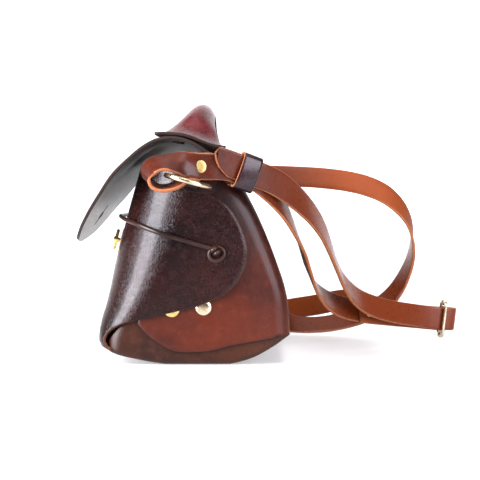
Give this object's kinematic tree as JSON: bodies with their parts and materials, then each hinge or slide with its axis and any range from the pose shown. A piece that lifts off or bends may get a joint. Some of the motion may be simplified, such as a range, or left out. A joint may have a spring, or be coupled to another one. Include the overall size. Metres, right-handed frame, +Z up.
{
  "type": "leather shoulder bag",
  "caption": "Small leather shoulder bag with a boat-shaped bottom, wrapped ends, a full-width flap with a turn-lock, an arched top handle and an adjustable strap on end rings.",
  "frame": {"origin": "on the ground under the middle of the flat bottom", "axes": "+X towards the back of the bag, -X towards the flap's free edge, Y along the bag's length, +Z up"},
  "size_m": [0.3372, 0.311, 0.211],
  "materials": {
    "front_leather": "glossy near-black brown leather with fine grain",
    "back_leather": "glossy red-brown leather",
    "bottom_leather": "brown leather",
    "flap_leather": "black leather, polished underside",
    "handle_leather": "burgundy polished leather",
    "strap_leather": "tan-brown leather with raw edges",
    "keeper_leather": "dark plum polished leather",
    "tab_leather": "dark brown leather",
    "lace_leather": "dark brown round leather cord",
    "brass": "polished brass",
    "nickel_brass": "pale polished brass"
  },
  "bodies": {
    "bag": {"front_panel": "front_leather", "back_panel": "back_leather", "bottom_panel": "bottom_leather", "side_rivet_caps": "nickel_brass", "side_rivet_backs": "nickel_brass", "ring_tab_near": "tab_leather", "ring_tab_far": "tab_leather", "ring_tab_rivets": "brass", "turnlock_base": "brass", "turnlock_post": "brass", "turnlock_backplate": "brass", "lace": "lace_leather", "lace_knot_near": "lace_leather", "lace_knot_far": "lace_leather"},
    "flap": {"flap": "flap_leather", "handle": "handle_leather", "handle_rivet_caps": "brass", "handle_rivet_backs": "brass"},
    "toggle": {"turnlock_toggle": "brass"},
    "ring_near": {"ring_near": "brass"},
    "ring_far": {"ring_far": "brass"},
    "strap": {"strap_short_fold": "strap_leather", "strap_short_run": "strap_leather", "strap_long_upper": "strap_leather", "strap_long_slider": "strap_leather", "strap_long_ground": "strap_leather", "strap_long_arch": "strap_leather", "strap_long_fold": "strap_leather", "strap_rivet_near": "brass", "strap_rivet_far": "brass", "slider_rivet": "brass"},
    "keeper": {"strap_keeper": "keeper_leather"},
    "slider": {"slider_frame": "brass", "slider_bar": "brass"}
  },
  "joints": [
    {"name": "flap_fold", "type": "hinge", "parent": "bag", "child": "flap", "pos_m": [0.034, 0, 0.1408], "axis": [0, 1, 0], "range_deg": [-3, 78]},
    {"name": "toggle_turn", "type": "hinge", "parent": "bag", "child": "toggle", "pos_m": [-0.06975, 0, 0.0927], "axis": [-0.9686, 0, 0.2487], "range_deg": [0, 90]},
    {"name": "ring_near_turn", "type": "hinge", "parent": "bag", "child": "ring_near", "pos_m": [-0.006, -0.1365, 0.142], "axis": [0.2689, 0, 0.9632], "continuous": true},
    {"name": "ring_far_turn", "type": "hinge", "parent": "bag", "child": "ring_far", "pos_m": [-0.006, 0.1365, 0.142], "axis": [0.2689, 0, 0.9632], "continuous": true},
    {"name": "strap_swing", "type": "hinge", "parent": "bag", "child": "strap", "pos_m": [-0.0224, 0, 0.1466], "axis": [0, -1, 0], "range_deg": [0, 9]},
    {"name": "keeper_slide", "type": "slide", "parent": "strap", "child": "keeper", "axis": [0.8987, 0.2896, -0.3295], "range_m": [-0.004, 0.0015]},
    {"name": "slider_tilt", "type": "hinge", "parent": "strap", "child": "slider", "pos_m": [0.2172, 0.044, 0.0202], "axis": [0.115, 0, 0.9934], "range_deg": [-6, 6]}
  ]
}
